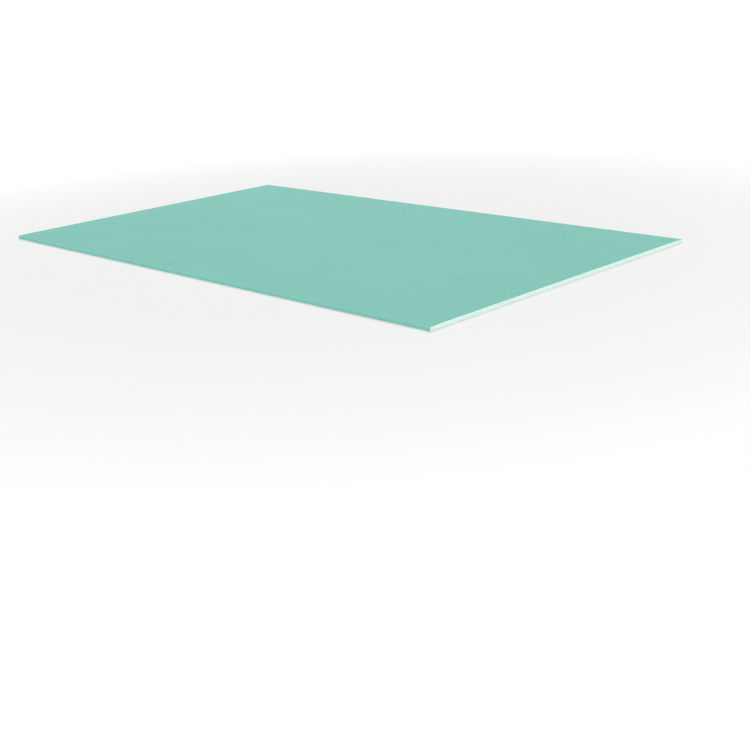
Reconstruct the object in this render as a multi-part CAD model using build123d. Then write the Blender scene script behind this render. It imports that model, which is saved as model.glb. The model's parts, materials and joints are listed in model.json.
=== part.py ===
"""One sheet of moisture-resistant drywall, lying face up.

A gypsum core lies between two papers. The face paper covers the face, wraps round both long edges and
laps onto the back as two flaps. The back paper is narrower than the board and laps over those flaps.
The face tapers towards the long edges, and the two ends are cut square, so the core shows there.

Millimetres. The origin is the middle of the back, +X runs along the sheet and +Z is up, out of the face.
"""

import os

from build123d import *

# The board
length = 2000.0
width = 1200.0
thickness = 12.5

# The papers
face_paper_thickness = 0.35
back_paper_thickness = 0.35

# The long edges: how far in the face starts to taper, how far it drops, how softly it starts
taper_width = 50.0
taper_depth = 1.5
taper_blend = 400.0

# Radii of the core's corners along the long edges, inside the paper that bends round them
face_arris = 1.6
back_arris = 1.2

# Where the papers end on the back, measured in from the long edge of the board
flap_width = 30.0
back_paper_inset = 12.0

# Levels above the plane that the sheet rests on
flap_level = back_paper_thickness
core_level = back_paper_thickness + face_paper_thickness
core_top = thickness - face_paper_thickness


def band(half_width, bottom, top):
    """A rectangle across the sheet, centred on it, between two levels."""
    return Pos(0, (bottom + top) / 2) * Rectangle(2 * half_width, top - bottom)


def edge_corners(section, row):
    """The section's corners on its two long edges: row 0 at the back, row -1 at the face."""
    return section.edges().filter_by(Axis.Y).vertices().group_by(Axis.Y)[row]


def wrapped_section():
    """The core's section as far as the face paper wraps it: tapered on top, rounded at the long edges."""
    half_width = width / 2 - face_paper_thickness
    taper_start = half_width - taper_width
    edge_top = core_top - taper_depth
    outline = Polyline(
        (-half_width, core_level),
        (half_width, core_level),
        (half_width, edge_top),
        (taper_start, core_top),
        (-taper_start, core_top),
        (-half_width, edge_top),
        close=True,
    )
    section = make_face(outline)
    section = fillet(section.vertices().group_by(Axis.Y)[-1], taper_blend)
    section = fillet(edge_corners(section, -1), face_arris)
    return fillet(edge_corners(section, 0), back_arris)


def between_flaps():
    """The shallow space on the back between the two flaps, which the core fills."""
    return band(width / 2 - flap_width, flap_level, core_level)


def along_the_sheet(section):
    """A section across the sheet, run over its whole length."""
    return extrude(Plane.YZ * section, amount=length / 2, both=True)


def gypsum_core():
    """The core fills the wrap, and between the flaps it reaches down to the back paper."""
    return along_the_sheet(wrapped_section() + between_flaps())


def face_paper():
    """A skin of even thickness round the wrapped section, open on the back between its two flaps."""
    section = wrapped_section()
    skin = offset(section, amount=face_paper_thickness) - section
    return along_the_sheet(skin - between_flaps())


def back_paper():
    """A flat paper under the core and over the flaps. The sheet rests on it."""
    return along_the_sheet(band(width / 2 - back_paper_inset, 0, back_paper_thickness))


os.makedirs("parts", exist_ok=True)
for make in (gypsum_core, face_paper, back_paper):
    export_step(make(), f"parts/{make.__name__}.step")
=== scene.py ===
"""The looks of one moisture-resistant drywall sheet that lies face up on a pale floor.

The green paper, the gypsum core and the grey paper are modelled round the sheet's frame, in metres. The green
paper is wrapped round the long edges, and the core is left rough and full of air holes where it was cut.
"""

import json
import math

import bmesh
import bpy
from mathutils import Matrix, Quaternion, Vector

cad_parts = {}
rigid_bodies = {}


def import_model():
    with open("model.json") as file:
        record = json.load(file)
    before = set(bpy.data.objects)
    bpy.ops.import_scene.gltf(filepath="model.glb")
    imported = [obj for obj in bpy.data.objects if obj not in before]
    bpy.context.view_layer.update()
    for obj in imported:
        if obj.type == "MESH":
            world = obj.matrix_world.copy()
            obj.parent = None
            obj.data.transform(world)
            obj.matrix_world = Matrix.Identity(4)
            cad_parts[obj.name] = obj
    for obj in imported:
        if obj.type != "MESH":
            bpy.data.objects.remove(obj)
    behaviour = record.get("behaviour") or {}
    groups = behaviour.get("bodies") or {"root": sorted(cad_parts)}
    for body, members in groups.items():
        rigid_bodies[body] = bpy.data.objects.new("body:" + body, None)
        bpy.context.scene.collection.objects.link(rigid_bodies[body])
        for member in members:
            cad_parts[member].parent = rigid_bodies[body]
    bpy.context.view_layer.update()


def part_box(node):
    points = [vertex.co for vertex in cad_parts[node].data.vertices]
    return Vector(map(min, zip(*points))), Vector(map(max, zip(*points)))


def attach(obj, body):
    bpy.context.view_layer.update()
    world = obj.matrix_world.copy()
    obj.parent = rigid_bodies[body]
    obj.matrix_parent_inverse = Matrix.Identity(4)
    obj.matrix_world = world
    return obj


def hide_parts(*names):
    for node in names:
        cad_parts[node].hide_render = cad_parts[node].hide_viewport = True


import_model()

# The wrapped long edges, in metres
TAPER_WIDTH = 0.050
TAPER_DEPTH = 0.0015
TAPER_SOFTNESS = 0.006
FACE_ARRIS = 0.00195
BACK_ARRIS = 0.00155
FLAP_WIDTH = 0.030

# The facets of the paper's bends, and the directions in degrees of the facets of the core's corners
TAPER_FACETS = 4
ARRIS_FACETS = 6
CORE_ARRIS_TURNS = (22.5, 45, 67.5)

# The angles in degrees under which two facets look like one smooth surface
PAPER_SMOOTH = 30
CORE_SMOOTH = 45

# The cut ends, in metres: the cells of the meshes, how many one round of cuts can make, and the strip along
# a paper's lip that can fray
CORE_CELL = 0.0017
PAPER_CELL = 0.0015
MOST_CELLS = 100
LIP_STRIP = 0.004
LIP_FRAY = 0.0004
LIP_FRAY_SIZE = 0.004

# What the saw leaves on the core, in metres: the size and the depth of its waves and of the broken grain
SAW_WAVES = (0.03, 0.0003)
BROKEN_GRAIN = (0.003, 0.00025)

# The air holes in the core: how far they keep from each other, their radii and the facets of their round
LARGE_HOLES = {"spacing": 0.0075, "sizes": (0.00045, 0.00100), "facets": 2, "seed": 5}
SMALL_HOLES = {"spacing": 0.0020, "sizes": (0.00016, 0.00055), "facets": 1, "seed": 3}
HOLE_MARGIN = 0.0015
HOLE_DEPTH = 0.0003
# How dark the gypsum's pinholes are painted: painted shade inside them
PINHOLE_PAINTED_SHADE = 0.84

# The fibres that hang from the cut lips of the papers: metres, shares of their length, and degrees
FIBRE_LENGTH = 0.0015
FIBRE_RADIUS = 0.00005
FIBRE_SPACING = 0.0017
FIBRE_SIZES = (0.5, 1.2)
FIBRE_TURNS = (50, 4, 0)
FIBRE_ROOT = 0.7 * LIP_FRAY
FIBRE_CURL_SIZE = 0.0012

# How many points a scatter tries to place for each one that its spacing leaves room for
CROWDING = 4

# How much paler the paper is painted on the round corners of the long edges, a painted highlight, and how
# dark it is painted on the scored lines, painted shade in their grooves
CORNER_HIGHLIGHT = 1.12
CREASE_PAINTED_SHADE = 0.93

TINY = 1e-6

# Colours, linear
GREEN_PAPER = (0.223, 0.576, 0.489)
PAPER_PLIES = (0.330, 0.500, 0.440)
GYPSUM = (0.706, 0.905, 0.832)
GREY_PAPER = (0.420, 0.450, 0.400)
BROWN_FLECK = (0.200, 0.190, 0.160)
FLOOR_WHITE = (0.900, 0.900, 0.900)

# The floor, in metres, and how much it glows for the camera, near the sheet and far from it
FLOOR_SIZE = 60
FLOOR_GLOW = (0.07, 0.42)
FLOOR_GLOW_REACH = (0.9, 4.0)

# The light: shares of full daylight, where it comes from, and degrees
ROOM_LIGHT = 0.34
KEY_FROM = (-0.80, 0.85, 0.95)
KEY_SPREAD = 22
KEY_LIGHT = 0.48
LOW_FROM = (1.0, -0.85, 0.45)
LOW_SPREAD = 60
LOW_LIGHT = 0.78

# The camera, in metres and degrees, with its focal length and sensor in millimetres
CAMERA_PLACE = (2.956, -2.747, 0.871)
CAMERA_YAW = -45.18
CAMERA_DOWN = 18.65
CAMERA_ROLL = -2.78
CAMERA_LENS = 57.84
CAMERA_SENSOR = 36


def only(piece, *others):
    """Selects some pieces and nothing else, and makes the first the one that is worked on."""
    bpy.ops.object.select_all(action="DESELECT")
    for each in (piece, *others):
        each.select_set(True)
    bpy.context.view_layer.objects.active = piece


def remove(piece):
    bpy.data.objects.remove(piece, do_unlink=True)


def apply_modifiers(piece):
    for modifier in list(piece.modifiers):
        bpy.ops.object.modifier_apply(modifier=modifier.name)


def start_piece(name, size=(1, 1, 1)):
    """Names the new primitive, puts its place into its mesh, opens it and gives it its size."""
    piece = bpy.context.object
    piece.name = piece.data.name = name
    place = piece.location.copy()
    bpy.ops.object.transform_apply(location=True, rotation=True, scale=True)
    bpy.ops.object.mode_set(mode="EDIT")
    bpy.ops.mesh.select_all(action="SELECT")
    bpy.ops.transform.resize(value=size, center_override=place)
    return piece


def pick(piece, kind, test):
    """In edit mode, selects the edges or the faces whose middle passes the test."""
    bpy.ops.mesh.select_mode(type=kind)
    bpy.ops.mesh.select_all(action="DESELECT")
    mesh = bmesh.from_edit_mesh(piece.data)
    for part in {"EDGE": mesh.edges, "FACE": mesh.faces}[kind]:
        middle = sum((v.co for v in part.verts), Vector()) / len(part.verts)
        if test(middle):
            part.select_set(True)
    mesh.select_flush_mode()
    bmesh.update_edit_mesh(piece.data)


def extrude(x, y, z):
    bpy.ops.mesh.extrude_region_move(TRANSFORM_OT_translate={"value": (x, y, z)})


def cut_along(point, normal, clear=False):
    """Cuts the opened piece along a plane, and may clear what lies on the side that the normal points to."""
    bpy.ops.mesh.select_all(action="SELECT")
    bpy.ops.mesh.bisect(plane_co=point, plane_no=normal, clear_outer=clear)


def face_outwards():
    bpy.ops.mesh.select_all(action="SELECT")
    bpy.ops.mesh.normals_make_consistent(inside=False)


def wrap_face_paper(paper, plies):
    """The green paper: a flat face, its tapers, the two wrapped edges and the flaps on the back."""
    low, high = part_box("face_paper")
    flat = high.y - TAPER_WIDTH
    bpy.ops.object.select_all(action="DESELECT")
    bpy.ops.mesh.primitive_plane_add(size=1, location=(0, 0, high.z))
    piece = start_piece("face_paper_wrap", (2 * high.x, 2 * flat, 1))
    brow = high.z - TAPER_DEPTH
    for side in (1, -1):
        pick(piece, "EDGE", lambda p: p.y * side > flat - TINY)
        extrude(0, side * TAPER_WIDTH, -TAPER_DEPTH)
        extrude(0, 0, low.z - brow)
        extrude(0, -side * FLAP_WIDTH, 0)
    bends = (
        (flat, high.z, TAPER_SOFTNESS, TAPER_FACETS),
        (high.y, brow, FACE_ARRIS, ARRIS_FACETS),
        (high.y, low.z, BACK_ARRIS, ARRIS_FACETS),
    )
    for y, z, radius, facets in bends:
        pick(piece, "EDGE", lambda p: abs(abs(p.y) - y) < TINY and abs(p.z - z) < TINY)
        bpy.ops.mesh.bevel(offset=radius, segments=facets, affect="EDGES")
    divide_ends(piece, high.x)
    face_outwards()
    bpy.ops.object.mode_set(mode="OBJECT")
    fray_lips(piece, high.x)
    thicken(piece, high.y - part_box("gypsum_core")[1].y, paper, plies)
    return piece


def lay_back_paper(paper):
    """The grey paper of the back. It ends a little inside the long edges, over the flaps of the green one."""
    low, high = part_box("back_paper")
    bpy.ops.object.select_all(action="DESELECT")
    bpy.ops.mesh.primitive_plane_add(size=1, location=(0, 0, low.z))
    piece = start_piece("back_paper_lap", (2 * high.x, 2 * high.y, 1))
    divide_ends(piece, high.x)
    bpy.ops.mesh.select_all(action="SELECT")
    bpy.ops.mesh.flip_normals()
    bpy.ops.object.mode_set(mode="OBJECT")
    fray_lips(piece, high.x)
    thicken(piece, high.z - low.z, paper, paper)
    return piece


def thicken(piece, thickness, paper, plies):
    """Gives a skin its thickness inwards. The plies show inside and where the paper is cut."""
    skin = piece.modifiers.new("paper", "SOLIDIFY")
    skin.thickness = thickness
    skin.offset = -1
    skin.use_even_offset = True
    piece.data.materials.append(paper)
    if plies != paper:
        piece.data.materials.append(plies)
        skin.material_offset = skin.material_offset_rim = 1
    apply_modifiers(piece)
    bpy.ops.object.shade_smooth_by_angle(angle=math.radians(PAPER_SMOOTH))


def divide_ends(piece, end):
    """Cuts a narrow strip off along both ends of a paper, and cuts the strips across into cells."""
    strip = end - LIP_STRIP
    for side in (1, -1):
        cut_along((side * strip, 0, 0), (1, 0, 0))
    for length, cells in lengths_across(piece, end):
        for cuts in split_cuts(cells):
            pick_across(piece, (end, strip), length)
            bpy.ops.mesh.subdivide(number_cuts=cuts)
            length /= cuts + 1


def lengths_across(piece, end):
    """The lengths of the edges that lie across the sheet on its ends, with the cells that each takes."""
    mesh = bmesh.from_edit_mesh(piece.data)
    lengths = {
        round(edge.calc_length(), 6)
        for edge in mesh.edges
        if all(end - abs(v.co.x) < TINY for v in edge.verts)
    }
    return [(length, round(length / PAPER_CELL)) for length in lengths if length > 2 * PAPER_CELL]


def split_cuts(cells):
    """The cuts that make so many cells, in two rounds where there are more than one round can make."""
    if cells <= MOST_CELLS:
        return [cells - 1]
    return [round(math.sqrt(cells)) - 1] * 2


def pick_across(piece, levels, length):
    """In edit mode, selects the edges of one length that lie across the sheet at the levels along it."""
    bpy.ops.mesh.select_mode(type="EDGE")
    bpy.ops.mesh.select_all(action="DESELECT")
    mesh = bmesh.from_edit_mesh(piece.data)
    for edge in mesh.edges:
        first, last = (v.co for v in edge.verts)
        on_level = any(abs(abs(first.x) - level) < TINY for level in levels)
        if on_level and abs(first.x - last.x) < TINY and abs(edge.calc_length() - length) < 2 * TINY:
            edge.select_set(True)
    bmesh.update_edit_mesh(piece.data)


def fray_lips(piece, end):
    """Lets both cut lips of a paper run unevenly, up to their fray inside the ends of the sheet."""
    for side in (1, -1):
        displace_end(piece, side, end, ((cloud_texture("lip_fray", LIP_FRAY_SIZE, 3), LIP_FRAY),))


def cloud_texture(name, size, depth):
    texture = bpy.data.textures.new(name, "CLOUDS")
    texture.noise_scale = size
    texture.noise_depth = depth
    return texture


def displace_end(piece, side, end, layers):
    """Moves the vertices of one end inwards, along the sheet, by textures of a given depth."""
    group = piece.vertex_groups.new(name=f"end_{'right' if side > 0 else 'left'}")
    group.add([v.index for v in piece.data.vertices if v.co.x * side > end - TINY], 1, "REPLACE")
    for texture, depth in layers:
        modifier = piece.modifiers.new(texture.name, "DISPLACE")
        modifier.texture = texture
        modifier.texture_coords = "LOCAL"
        modifier.direction = "X"
        modifier.vertex_group = group.name
        modifier.mid_level = 1
        modifier.strength = side * depth


def cut_core(gypsum):
    """The gypsum core, one block with the section of the wrap, sawn and full of air holes at its two ends."""
    low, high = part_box("gypsum_core")
    across, up = high.y - low.y, high.z - low.z
    bpy.ops.object.select_all(action="DESELECT")
    bpy.ops.mesh.primitive_grid_add(
        x_subdivisions=round(across / CORE_CELL),
        y_subdivisions=round(up / CORE_CELL),
        size=1,
        location=(high.x, 0, (low.z + high.z) / 2),
        rotation=(math.pi / 2, 0, math.pi / 2),
    )
    piece = start_piece("gypsum_core_cut", (1, across, up))
    for side in (1, -1):
        trim_core(piece, side)
    bpy.ops.mesh.select_all(action="SELECT")
    extrude(low.x - high.x, 0, 0)
    face_outwards()
    bpy.ops.object.mode_set(mode="OBJECT")
    piece.data.materials.append(gypsum)
    for side in (1, -1):
        roughen_end(piece, side, high.x)
    apply_modifiers(piece)
    for holes in (LARGE_HOLES, SMALL_HOLES):
        for side in (1, -1):
            bore_holes(piece, side, **holes)
    clean_core(piece, high.x)
    bpy.ops.object.shade_smooth_by_angle(angle=math.radians(CORE_SMOOTH))
    return piece


def clean_core(piece, end):
    """Clears the bubbles that stayed closed behind an end, and the slivers that the holes left."""
    bpy.ops.object.mode_set(mode="EDIT")
    pick(piece, "FACE", lambda p: abs(p.x) < end / 2)
    bpy.ops.mesh.select_linked()
    bpy.ops.mesh.select_all(action="INVERT")
    bpy.ops.mesh.delete(type="VERT")
    bpy.ops.mesh.select_all(action="SELECT")
    bpy.ops.mesh.dissolve_degenerate(threshold=TINY)
    bpy.ops.object.mode_set(mode="OBJECT")


def trim_core(piece, side):
    """Gives one long edge of the end grid its taper, its rounded corners and the step for the flap."""
    low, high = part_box("gypsum_core")
    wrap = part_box("face_paper")[1]
    paper = wrap.y - high.y
    flap_top = low.z + paper
    fold = wrap.y - FLAP_WIDTH
    slope = math.atan2(TAPER_DEPTH, TAPER_WIDTH)
    taper_start = (0, side * (high.y - TAPER_WIDTH), high.z)
    cut_along(taper_start, (0, side * math.sin(slope), math.cos(slope)), clear=True)
    for level, up, outer in ((high.z - TAPER_DEPTH, 1, FACE_ARRIS), (flap_top, -1, BACK_ARRIS)):
        radius = outer - paper
        middle = Vector((0, side * (high.y - radius), level - up * radius))
        for turn in CORE_ARRIS_TURNS:
            out = Vector((0, side * math.cos(math.radians(turn)), up * math.sin(math.radians(turn))))
            cut_along(middle + out * radius, out, clear=True)
    cut_along((0, 0, flap_top), (0, 0, 1))
    cut_along((0, side * fold, 0), (0, 1, 0))
    pick(piece, "FACE", lambda p: p.y * side > fold and p.z < flap_top)
    bpy.ops.mesh.delete(type="FACE")


def roughen_end(piece, side, end):
    """Sets one cut end of the core back from the papers, with the uneven surface that a saw leaves."""
    waves, wave_depth = SAW_WAVES
    grain, grain_depth = BROKEN_GRAIN
    layers = (
        (cloud_texture("saw_waves", waves, 2), wave_depth),
        (cloud_texture("broken_grain", grain, 2), grain_depth),
    )
    displace_end(piece, side, end, layers)


def bore_holes(piece, side, spacing, sizes, facets, seed):
    """Takes round air holes out of one end of the core."""
    low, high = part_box("gypsum_core")
    bpy.ops.mesh.primitive_ico_sphere_add(subdivisions=facets, radius=1)
    bubble = bpy.context.object
    bubble.data.materials.append(piece.data.materials[0])
    middle = (side * (high.x - HOLE_DEPTH), 0, (low.z + high.z) / 2)
    bpy.ops.mesh.primitive_plane_add(size=1, location=middle, rotation=(0, side * math.pi / 2, 0))
    bubbles = start_piece("air_holes", (1, 2 * (high.y - 2 * HOLE_MARGIN), high.z - low.z - 2 * HOLE_MARGIN))
    bpy.ops.object.mode_set(mode="OBJECT")
    scatter(bubbles, bubble, spacing, sizes, (0, 0, 0), seed + side)
    only(piece)
    cut = piece.modifiers.new("air_holes", "BOOLEAN")
    cut.solver = "MANIFOLD"
    cut.object = bubbles
    apply_modifiers(piece)
    remove(bubbles)


def scatter(plane, shape, spacing, sizes, turns, seed):
    """Replaces a plane with copies of a shape that stand on it, spaced, sized and turned by chance."""
    tree = bpy.data.node_groups.new("scatter", "GeometryNodeTree")
    tree.interface.new_socket("Geometry", in_out="INPUT", socket_type="NodeSocketGeometry")
    tree.interface.new_socket("Geometry", in_out="OUTPUT", socket_type="NodeSocketGeometry")
    places = tree.nodes.new("GeometryNodeDistributePointsOnFaces")
    places.distribute_method = "POISSON"
    places.inputs["Distance Min"].default_value = spacing
    places.inputs["Density Max"].default_value = CROWDING / spacing**2
    places.inputs["Seed"].default_value = seed
    info = tree.nodes.new("GeometryNodeObjectInfo")
    info.inputs["Object"].default_value = shape
    turn = tree.nodes.new("FunctionNodeRandomValue")
    turn.data_type = "FLOAT_VECTOR"
    turn.inputs[0].default_value = [-math.radians(t) for t in turns]
    turn.inputs[1].default_value = [math.radians(t) for t in turns]
    turn.inputs["Seed"].default_value = seed + 1
    chance = tree.nodes.new("FunctionNodeRandomValue")
    chance.inputs["Seed"].default_value = seed + 2
    mostly_small = combine(tree, [chance.outputs[1]] * 2)
    size = tree.nodes.new("ShaderNodeMapRange")
    size.inputs["To Min"].default_value, size.inputs["To Max"].default_value = sizes
    copies = tree.nodes.new("GeometryNodeInstanceOnPoints")
    real = tree.nodes.new("GeometryNodeRealizeInstances")
    links = (
        (tree.nodes.new("NodeGroupInput").outputs[0], places.inputs["Mesh"]),
        (places.outputs["Points"], copies.inputs["Points"]),
        (info.outputs["Geometry"], copies.inputs["Instance"]),
        (turn.outputs[0], copies.inputs["Rotation"]),
        (mostly_small, size.inputs["Value"]),
        (size.outputs["Result"], copies.inputs["Scale"]),
        (copies.outputs["Instances"], real.inputs["Geometry"]),
        (real.outputs["Geometry"], tree.nodes.new("NodeGroupOutput").inputs[0]),
    )
    for start, end in links:
        tree.links.new(start, end)
    only(plane)
    plane.modifiers.new("scatter", "NODES").node_group = tree
    apply_modifiers(plane)
    remove(shape)


def fray_papers(plies):
    """Loose fibres along the cut lips of the papers, at the top and the bottom of both ends."""
    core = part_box("gypsum_core")[1]
    face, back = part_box("face_paper")[1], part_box("back_paper")[1]
    hanging, standing = math.pi, 0
    lips = ((core.y - TAPER_WIDTH, (core.z + face.z) / 2, hanging), (back.y, back.z, standing))
    fringes = []
    for side in (1, -1):
        for number, (reach, level, turn) in enumerate(lips):
            fibre = paper_fibre(plies, turn)
            bpy.ops.mesh.primitive_plane_add(size=1, location=(side * (face.x - FIBRE_ROOT), 0, level))
            fringe = start_piece("cut_paper_fibres", (LIP_FRAY / 2, 2 * reach, 1))
            bpy.ops.object.mode_set(mode="OBJECT")
            seed = 10 * number + side + 1
            scatter(fringe, fibre, FIBRE_SPACING, FIBRE_SIZES, FIBRE_TURNS, seed)
            fringes.append(fringe)
    only(*fringes)
    bpy.ops.object.join()
    piece = bpy.context.object
    piece.name = piece.data.name = "cut_paper_fibres"
    curl = cloud_texture("fibre_curl", FIBRE_CURL_SIZE, 2)
    for direction, strength in (("X", LIP_FRAY / 2), ("Y", FIBRE_LENGTH / 2)):
        bend = piece.modifiers.new("curl", "DISPLACE")
        bend.texture = curl
        bend.texture_coords = "LOCAL"
        bend.direction = direction
        bend.strength = strength
    apply_modifiers(piece)
    return piece


def paper_fibre(plies, turn):
    """One thin, pointed fibre with its root at the origin, which stands up or is turned to hang down."""
    bpy.ops.object.select_all(action="DESELECT")
    bpy.ops.mesh.primitive_cone_add(
        vertices=3,
        radius1=FIBRE_RADIUS,
        radius2=FIBRE_RADIUS / 3,
        depth=FIBRE_LENGTH,
        location=(0, 0, FIBRE_LENGTH / 2),
    )
    fibre = start_piece("paper_fibre")
    fibre.data.materials.append(plies)
    pick(fibre, "EDGE", lambda p: 0 < p.z - TINY < FIBRE_LENGTH - 2 * TINY)
    bpy.ops.mesh.subdivide(number_cuts=3)
    bpy.ops.mesh.select_all(action="SELECT")
    bpy.ops.transform.rotate(value=turn, orient_axis="X", center_override=(0, 0, 0))
    bpy.ops.object.mode_set(mode="OBJECT")
    return fibre


def new_material(name, specular, roughness=0.5):
    """A material with its tree, its surface shader and the piece's own coordinates."""
    material = bpy.data.materials.new(name)
    material.use_nodes = True
    tree = material.node_tree
    shader = tree.nodes["Principled BSDF"]
    shader.inputs["Roughness"].default_value = roughness
    shader.inputs["Specular IOR Level"].default_value = specular
    place = tree.nodes.new("ShaderNodeTexCoord").outputs["Object"]
    return material, tree, shader, place


def noise(tree, place, size, detail=2.0, turn=0.0, curl=0.0):
    """Noise with spots of a size = (along, across, up) in metres, turned about the vertical and curled."""
    mapping = tree.nodes.new("ShaderNodeMapping")
    mapping.vector_type = "TEXTURE"
    mapping.inputs["Scale"].default_value = size
    mapping.inputs["Rotation"].default_value = (0, 0, math.radians(turn))
    tree.links.new(place, mapping.inputs["Vector"])
    node = tree.nodes.new("ShaderNodeTexNoise")
    node.inputs["Scale"].default_value = 1
    node.inputs["Detail"].default_value = detail
    node.inputs["Distortion"].default_value = curl
    tree.links.new(mapping.outputs["Vector"], node.inputs["Vector"])
    return node.outputs["Fac"]


def spread(tree, value, low, high, start=0.0, end=1.0):
    """Turns a value that goes from start to end into one that goes from low to high, softly at both ends."""
    node = tree.nodes.new("ShaderNodeMapRange")
    node.interpolation_type = "SMOOTHSTEP"
    for socket, number in (("From Min", start), ("From Max", end), ("To Min", low), ("To Max", high)):
        node.inputs[socket].default_value = number
    tree.links.new(value, node.inputs["Value"])
    return node.outputs["Result"]


def marking(tree, place, size, low, high, start=0.3, end=0.7, **form):
    """Spots that shade a surface from low to high, as their noise goes from start to end."""
    return spread(tree, noise(tree, place, size, **form), low, high, start, end)


def combine(tree, values, operation="MULTIPLY"):
    """One value from several, taken together one after the other by one operation."""
    total = values[0]
    for value in values[1:]:
        node = tree.nodes.new("ShaderNodeMath")
        node.operation = operation
        tree.links.new(total, node.inputs[0])
        tree.links.new(value, node.inputs[1])
        total = node.outputs[0]
    return total


def coordinate(tree, place, axis):
    """One coordinate of a place."""
    parts = tree.nodes.new("ShaderNodeSeparateXYZ")
    tree.links.new(place, parts.inputs[0])
    return parts.outputs[axis]


def off(tree, value, middle):
    """How far a value lies from a middle."""
    shifted = tree.nodes.new("ShaderNodeMath")
    shifted.operation = "SUBTRACT"
    shifted.inputs[1].default_value = middle
    tree.links.new(value, shifted.inputs[0])
    distance = tree.nodes.new("ShaderNodeMath")
    distance.operation = "ABSOLUTE"
    tree.links.new(shifted.outputs[0], distance.inputs[0])
    return distance.outputs[0]


def tint(tree, color, value):
    """A colour made lighter or darker by a value."""
    node = tree.nodes.new("ShaderNodeVectorMath")
    node.operation = "SCALE"
    node.inputs[0].default_value = color
    tree.links.new(value, node.inputs["Scale"])
    return node.outputs["Vector"]


def blend(tree, share, first, second):
    """Goes from the first colour, a socket, to the second, a tuple, as the share goes from 0 to 1."""
    node = tree.nodes.new("ShaderNodeMix")
    node.data_type = "RGBA"
    start, end = (socket for socket in node.inputs if socket.type == "RGBA")
    tree.links.new(share, node.inputs["Factor"])
    tree.links.new(first, start)
    end.default_value = (*second, 1)
    return next(socket for socket in node.outputs if socket.type == "RGBA")


def bump(tree, shader, height, distance):
    node = tree.nodes.new("ShaderNodeBump")
    node.inputs["Distance"].default_value = distance
    tree.links.new(height, node.inputs["Height"])
    tree.links.new(node.outputs["Normal"], shader.inputs["Normal"])


def green_paper_material():
    """Smooth green liner paper: cloudy, faintly streaked along the sheet, and full of fine fibres, with a
    painted highlight on the round corners of the long edges and painted shade on the scored lines.
    """
    material, tree, shader, place = new_material("green_paper", specular=0.15)
    clouds = marking(tree, place, (0.45, 0.30, 0.30), 0.985, 1.015)
    streaks = marking(tree, place, (1.5, 0.012, 0.012), 0.99, 1.01)
    formation = marking(tree, place, (0.009, 0.006, 0.006), 0.98, 1.02)
    fibres = paper_fibres(tree, place, 0.965, 1.035)
    flecks = marking(tree, place, (0.0022, 0.0010, 0.0010), 1, 0.88, 0.70, 0.78, turn=20)
    bare = marking(tree, place, (0.0030, 0.0012, 0.0012), 1, 1.09, 0.68, 0.78, turn=-15)
    # A painted highlight, patchy along the sheet, on the round corners of the long edges
    corner_highlight = spread(tree, highlit_corners(tree, place), 1, CORNER_HIGHLIGHT)
    crease = fold_creases(tree, place)
    # Painted shade in the grooves of the scored lines where the paper bends
    crease_shade = spread(tree, crease, CREASE_PAINTED_SHADE, 1)
    shade = combine(tree, [clouds, streaks, formation, *fibres, flecks, bare, corner_highlight, crease_shade])
    tree.links.new(tint(tree, GREEN_PAPER, shade), shader.inputs["Base Color"])
    tree.links.new(marking(tree, place, (0.02, 0.01, 0.01), 0.70, 0.86), shader.inputs["Roughness"])
    groove = spread(tree, crease, 0, 0.15)
    bump(tree, shader, combine(tree, [formation, *fibres, groove], "ADD"), 0.0003)
    return material


def paper_fibres(tree, place, low, high):
    """Long thin fibres of two lengths, lying several ways across each other, as values about 1."""
    fibres = []
    for length, width, turns in ((0.005, 0.0005, (8, -38)), (0.0018, 0.00016, (64, -12, 31))):
        for turn in turns:
            fibres.append(marking(tree, place, (length, width, width), low, high, turn=turn, curl=0.8))
    return fibres


def fold_levels():
    """The levels of the scored lines that the paper bends at, where its round corners meet the long edge."""
    low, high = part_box("face_paper")
    return high.z - TAPER_DEPTH - FACE_ARRIS, low.z + BACK_ARRIS


def fold_creases(tree, place):
    """0 on the scored lines of the long edges and 1 off them."""
    up = coordinate(tree, place, "Z")
    return combine(tree, [spread(tree, off(tree, up, level), 0, 1, 0, 0.0005) for level in fold_levels()])


def highlit_corners(tree, place):
    """1 on the round corners of the long edges, where the paper is painted pale as a painted highlight, and 0
    away from them.
    """
    upper, lower = fold_levels()
    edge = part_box("face_paper")[1].y
    outwards = spread(tree, off(tree, coordinate(tree, place, "Y"), 0), 0, 1, edge - 0.006, edge - 0.001)
    height = off(tree, coordinate(tree, place, "Z"), (upper + lower) / 2)
    corner = spread(tree, height, 0, 1, (upper - lower) / 2 - 0.0015, (upper - lower) / 2 + 0.0005)
    patchy = marking(tree, place, (0.06, 0.004, 0.004), 0.6, 1)
    return combine(tree, [outwards, corner, patchy])


def paper_ply_material():
    """The inner plies of the green paper, which show where it is cut."""
    material, tree, shader, place = new_material("paper_ply", specular=0.2, roughness=0.9)
    fibres = marking(tree, place, (0.002, 0.0006, 0.0002), 0.85, 1.12)
    tree.links.new(tint(tree, PAPER_PLIES, fibres), shader.inputs["Base Color"])
    return material


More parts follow.
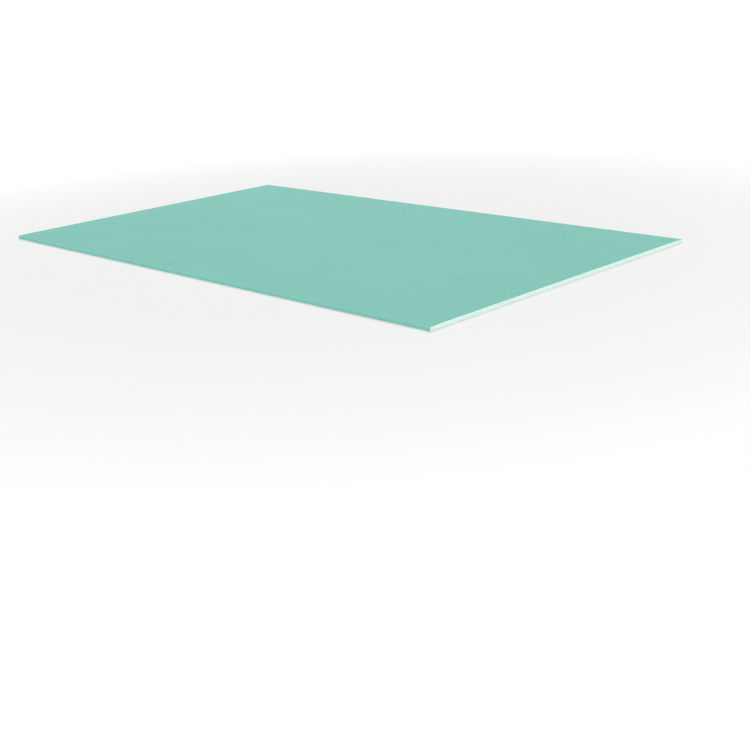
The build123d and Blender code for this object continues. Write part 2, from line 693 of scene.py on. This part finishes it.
def gypsum_material():
    """Chalky gypsum, fine-grained and marked by the saw, with pinholes and denser skins by the papers, and
    painted shade inside the pinholes.
    """
    material, tree, shader, place = new_material("gypsum", specular=0.15, roughness=0.95)
    low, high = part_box("gypsum_core")
    half = (high.z - low.z) / 2
    from_middle = off(tree, coordinate(tree, place, "Z"), low.z + half)
    skin = spread(tree, from_middle, 0, 1, half - 0.0016, half - 0.0006)
    cloudy = marking(tree, place, (0.05, 0.05, 0.02), 0.98, 1.02)
    grains = marking(tree, place, (0.0006, 0.0006, 0.0006), 0.95, 1.04, detail=3)
    marks = marking(tree, place, (0.01, 0.0007, 0.05), 0.975, 1.02)
    holes = combine(tree, [pinholes(tree, place, 0.0013), pinholes(tree, place, 0.0007)], "MINIMUM")
    closed = combine(tree, [holes, skin], "MAXIMUM")
    # Painted shade inside the pinholes
    shade = combine(tree, [cloudy, grains, marks, spread(tree, closed, PINHOLE_PAINTED_SHADE, 1)])
    tree.links.new(tint(tree, GYPSUM, shade), shader.inputs["Base Color"])
    bump(tree, shader, combine(tree, [grains, marks, spread(tree, closed, 0, 0.35)], "ADD"), 0.0004)
    return material


def pinholes(tree, place, spacing):
    """0 in small round bubbles of uneven size, one to a cell, and 1 between them."""
    cells = tree.nodes.new("ShaderNodeTexVoronoi")
    cells.inputs["Scale"].default_value = 1 / spacing
    tree.links.new(place, cells.inputs["Vector"])
    radius = spread(tree, cells.outputs["Color"], -0.05, 0.30)
    outside = combine(tree, [cells.outputs["Distance"], radius], "SUBTRACT")
    return spread(tree, outside, 0, 1, -0.10, 0.04)


def grey_paper_material():
    """Plain recycled back paper with brown flecks, and a faint line where the flap ends under it."""
    material, tree, shader, place = new_material("grey_paper", specular=0.2, roughness=0.88)
    clouds = marking(tree, place, (0.35, 0.20, 0.20), 0.97, 1.03)
    formation = marking(tree, place, (0.010, 0.007, 0.007), 0.96, 1.04)
    fibres = paper_fibres(tree, place, 0.94, 1.06)
    across = off(tree, coordinate(tree, place, "Y"), 0)
    from_flap_end = off(tree, across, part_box("face_paper")[1].y - FLAP_WIDTH)
    flap_end = spread(tree, from_flap_end, 0, 1, 0.0002, 0.0014)
    shade = combine(tree, [clouds, formation, *fibres, spread(tree, flap_end, 0.94, 1)])
    flecks = marking(tree, place, (0.004, 0.0015, 0.0015), 0, 1, 0.70, 0.76, turn=30)
    color = blend(tree, flecks, tint(tree, GREY_PAPER, shade), BROWN_FLECK)
    tree.links.new(color, shader.inputs["Base Color"])
    bump(tree, shader, combine(tree, [formation, *fibres, spread(tree, flap_end, 0.2, 0)], "ADD"), 0.0004)
    return material


def lay_floor():
    """A pale floor that keeps the sheet's shadow and runs out to white."""
    bpy.ops.object.select_all(action="DESELECT")
    bpy.ops.mesh.primitive_plane_add(size=FLOOR_SIZE)
    floor = bpy.context.object
    floor.name = "floor"
    material = bpy.data.materials.new("floor")
    material.use_nodes = True
    tree = material.node_tree
    tree.nodes.clear()
    matte = tree.nodes.new("ShaderNodeBsdfDiffuse")
    matte.inputs["Color"].default_value = (*FLOOR_WHITE, 1)
    glow = tree.nodes.new("ShaderNodeEmission")
    place = tree.nodes.new("ShaderNodeTexCoord").outputs["Object"]
    distance = tree.nodes.new("ShaderNodeVectorMath")
    distance.operation = "LENGTH"
    tree.links.new(place, distance.inputs[0])
    outwards = spread(tree, distance.outputs["Value"], *FLOOR_GLOW, *FLOOR_GLOW_REACH)
    tree.links.new(combine(tree, [outwards, seen_directly(tree)]), glow.inputs["Strength"])
    both = tree.nodes.new("ShaderNodeAddShader")
    tree.links.new(matte.outputs[0], both.inputs[0])
    tree.links.new(glow.outputs[0], both.inputs[1])
    out = tree.nodes.new("ShaderNodeOutputMaterial")
    tree.links.new(both.outputs[0], out.inputs["Surface"])
    floor.data.materials.append(material)


def seen_directly(tree):
    """1 for rays from the camera and for rays that gloss or glass sends on, 0 for the rest."""
    path = tree.nodes.new("ShaderNodeLightPath")
    rays = [path.outputs[f"Is {kind} Ray"] for kind in ("Camera", "Glossy", "Transmission")]
    return combine(tree, rays, "MAXIMUM")


def light_studio():
    """A white room, a lamp high behind on the left, and a wide low one onto the cut end and the front."""
    world = bpy.data.worlds.new("white_room")
    bpy.context.scene.world = world
    world.use_nodes = True
    tree = world.node_tree
    room = tree.nodes["Background"]
    room.inputs["Color"].default_value = (1, 1, 1, 1)
    strength = tree.nodes.new("ShaderNodeMapRange")
    strength.inputs["To Min"].default_value = ROOM_LIGHT
    strength.inputs["To Max"].default_value = 1
    tree.links.new(seen_directly(tree), strength.inputs["Value"])
    tree.links.new(strength.outputs["Result"], room.inputs["Strength"])
    hang_lamp("key_lamp", KEY_FROM, KEY_SPREAD, KEY_LIGHT)
    hang_lamp("low_lamp", LOW_FROM, LOW_SPREAD, LOW_LIGHT)


def hang_lamp(name, source, width, light):
    """A far lamp, so many degrees wide, that gives a surface facing it a share of full daylight."""
    turn = Vector(source).to_track_quat("Z", "Y")
    bpy.ops.object.light_add(type="SUN", rotation=turn.to_euler())
    lamp = bpy.context.object
    lamp.name = name
    lamp.data.angle = math.radians(width)
    lamp.data.energy = light * math.pi


def place_camera():
    yaw, down, roll = (math.radians(a) for a in (CAMERA_YAW, CAMERA_DOWN, CAMERA_ROLL))
    ahead = Vector((math.sin(yaw) * math.cos(down), math.cos(yaw) * math.cos(down), -math.sin(down)))
    turn = ahead.to_track_quat("-Z", "Y") @ Quaternion((0, 0, 1), roll)
    bpy.ops.object.camera_add(location=CAMERA_PLACE, rotation=turn.to_euler())
    camera = bpy.context.object
    camera.data.lens = CAMERA_LENS
    camera.data.sensor_width = CAMERA_SENSOR
    bpy.context.scene.camera = camera


place_camera()
light_studio()
lay_floor()

paper_plies = paper_ply_material()

face_paper = wrap_face_paper(green_paper_material(), paper_plies)
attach(face_paper, "root")
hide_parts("face_paper")

core = cut_core(gypsum_material())
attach(core, "root")
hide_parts("gypsum_core")

back_paper = lay_back_paper(grey_paper_material())
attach(back_paper, "root")
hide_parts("back_paper")

fibres = fray_papers(paper_plies)
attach(fibres, "root")

bpy.context.scene.view_settings.view_transform = "Standard"
